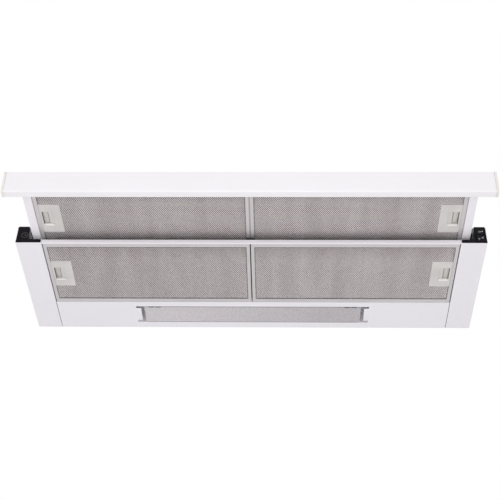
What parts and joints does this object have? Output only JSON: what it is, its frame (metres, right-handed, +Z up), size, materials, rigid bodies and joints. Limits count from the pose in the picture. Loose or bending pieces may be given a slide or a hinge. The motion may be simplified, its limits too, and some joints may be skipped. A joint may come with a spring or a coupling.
{
  "type": "under cabinet range hood",
  "caption": "Slide-out under-cabinet range hood: low canopy with hinged grease filters, lamp, end switches, a visor that draws forward, and a ducted blower box above.",
  "frame": {"origin": "mid width, where the hood's rear (wall) face meets the top of the low canopy, which seats against the cabinet's underside", "axes": "+Z up, -Y out of the wall towards the cook, +X to the right as seen from the front"},
  "size_m": [0.898, 0.4282, 0.2111],
  "materials": {
    "white_enamel": "semi-gloss powder coat",
    "facia_enamel": "semi-gloss powder coat",
    "cream_plastic": "satin moulded",
    "black_plastic": "satin moulded",
    "black_gloss": "glossy moulded",
    "galvanised_sheet": "zinc-coated sheet",
    "steel": "plain bright steel",
    "dark_grey_plastic": "matt moulded",
    "white_plastic": "matt moulded",
    "opal_glass": "opal",
    "lens_plastic": "finely textured translucent",
    "filter_aluminium": "satin rolled strip",
    "mesh_aluminium": "expanded sheet",
    "latch_plastic": "satin moulded"
  },
  "bodies": {
    "canopy": {"canopy_shell": "white_enamel", "side_panel_left": "white_enamel", "side_panel_right": "white_enamel", "front_crossbar": "white_enamel", "rear_panel": "white_enamel", "centre_bar": "galvanised_sheet", "front_cap_left": "black_plastic", "front_cap_right": "black_plastic", "switch_module": "dark_grey_plastic", "slide_channel_left": "steel", "slide_channel_right": "steel", "motor_housing": "galvanised_sheet", "outlet_collar": "black_plastic", "flap_pin": "steel", "blower_housing": "dark_grey_plastic", "motor_bracket": "galvanised_sheet", "fan_motor": "steel", "capacitor": "white_plastic", "terminal_box": "dark_grey_plastic", "cable_gland": "black_plastic", "lamp_tray": "white_enamel", "lamp_holder_left": "white_plastic", "lamp_holder_right": "white_plastic", "lamp_tube_left": "opal_glass", "lamp_tube_right": "opal_glass"},
    "visor": {"visor_tray": "white_enamel", "visor_centre_bar": "galvanised_sheet", "facia": "facia_enamel", "facia_cap_left": "cream_plastic", "facia_cap_right": "cream_plastic", "visor_rail_left": "steel", "visor_rail_right": "steel", "front_left_filter_frame": "filter_aluminium", "front_left_filter_mesh": "mesh_aluminium", "front_left_latch_plate": "latch_plastic", "front_left_latch_spring": "steel", "front_right_filter_frame": "filter_aluminium", "front_right_filter_mesh": "mesh_aluminium", "front_right_latch_plate": "latch_plastic", "front_right_latch_spring": "steel"},
    "rear_left_filter": {"rear_left_filter_frame": "filter_aluminium", "rear_left_filter_mesh": "mesh_aluminium", "rear_left_latch_plate": "latch_plastic", "rear_left_latch_spring": "steel"},
    "rear_right_filter": {"rear_right_filter_frame": "filter_aluminium", "rear_right_filter_mesh": "mesh_aluminium", "rear_right_latch_plate": "latch_plastic", "rear_right_latch_spring": "steel"},
    "rear_left_latch": {"rear_left_latch_slider": "latch_plastic"},
    "rear_right_latch": {"rear_right_latch_slider": "latch_plastic"},
    "front_left_latch": {"front_left_latch_slider": "latch_plastic"},
    "front_right_latch": {"front_right_latch_slider": "latch_plastic"},
    "light_switch": {"light_switch": "black_gloss"},
    "fan_switch": {"fan_switch": "black_gloss"},
    "lens": {"lamp_lens": "lens_plastic"},
    "impeller": {"fan_impeller": "black_plastic", "motor_shaft": "steel"},
    "flap_front": {"flap_front": "dark_grey_plastic"},
    "flap_rear": {"flap_rear": "dark_grey_plastic"}
  },
  "joints": [
    {"name": "visor_slide", "type": "slide", "parent": "canopy", "child": "visor", "axis": [0, -1, 0], "range_m": [-0.127, 0.061]},
    {"name": "rear_left_filter_swing", "type": "hinge", "parent": "canopy", "child": "rear_left_filter", "pos_m": [-0.0011, -0.1822, -0.037], "axis": [0, -1, 0], "range_deg": [0, 35]},
    {"name": "rear_right_filter_swing", "type": "hinge", "parent": "canopy", "child": "rear_right_filter", "pos_m": [0.0011, -0.1822, -0.037], "axis": [0, 1, 0], "range_deg": [0, 35]},
    {"name": "rear_left_latch_pull", "type": "slide", "parent": "rear_left_filter", "child": "rear_left_latch", "axis": [1, 0, 0], "range_m": [0, 0.006], "stiffness_N_per_m": 300, "springref_m": -0.003, "deforming": ["rear_left_latch_spring"]},
    {"name": "rear_right_latch_pull", "type": "slide", "parent": "rear_right_filter", "child": "rear_right_latch", "axis": [-1, 0, 0], "range_m": [0, 0.006], "stiffness_N_per_m": 300, "springref_m": -0.003, "deforming": ["rear_right_latch_spring"]},
    {"name": "front_left_latch_pull", "type": "slide", "parent": "visor", "child": "front_left_latch", "axis": [1, 0, 0], "range_m": [0, 0.006], "stiffness_N_per_m": 300, "springref_m": -0.003, "deforming": ["front_left_latch_spring"]},
    {"name": "front_right_latch_pull", "type": "slide", "parent": "visor", "child": "front_right_latch", "axis": [-1, 0, 0], "range_m": [0, 0.006], "stiffness_N_per_m": 300, "springref_m": -0.003, "deforming": ["front_right_latch_spring"]},
    {"name": "light_switch_rock", "type": "hinge", "parent": "canopy", "child": "light_switch", "pos_m": [0.4361, -0.279, -0.0116], "axis": [0, 0, 1], "range_deg": [0, 12]},
    {"name": "fan_switch_rock", "type": "hinge", "parent": "canopy", "child": "fan_switch", "pos_m": [0.4361, -0.279, -0.0278], "axis": [0, 0, 1], "range_deg": [-6, 6]},
    {"name": "lens_swing", "type": "hinge", "parent": "canopy", "child": "lens", "pos_m": [0, -0.0191, -0.0383], "axis": [1, 0, 0], "range_deg": [0, 75]},
    {"name": "impeller_spin", "type": "hinge", "parent": "canopy", "child": "impeller", "pos_m": [0, -0.18095, 0.0665], "axis": [1, 0, 0], "continuous": true},
    {"name": "flap_front_swing", "type": "hinge", "parent": "canopy", "child": "flap_front", "pos_m": [0, -0.14, 0.152], "axis": [-1, 0, 0], "range_deg": [0, 80]},
    {"name": "flap_rear_swing", "type": "hinge", "parent": "canopy", "child": "flap_rear", "pos_m": [0, -0.14, 0.152], "axis": [1, 0, 0], "range_deg": [0, 80]}
  ]
}
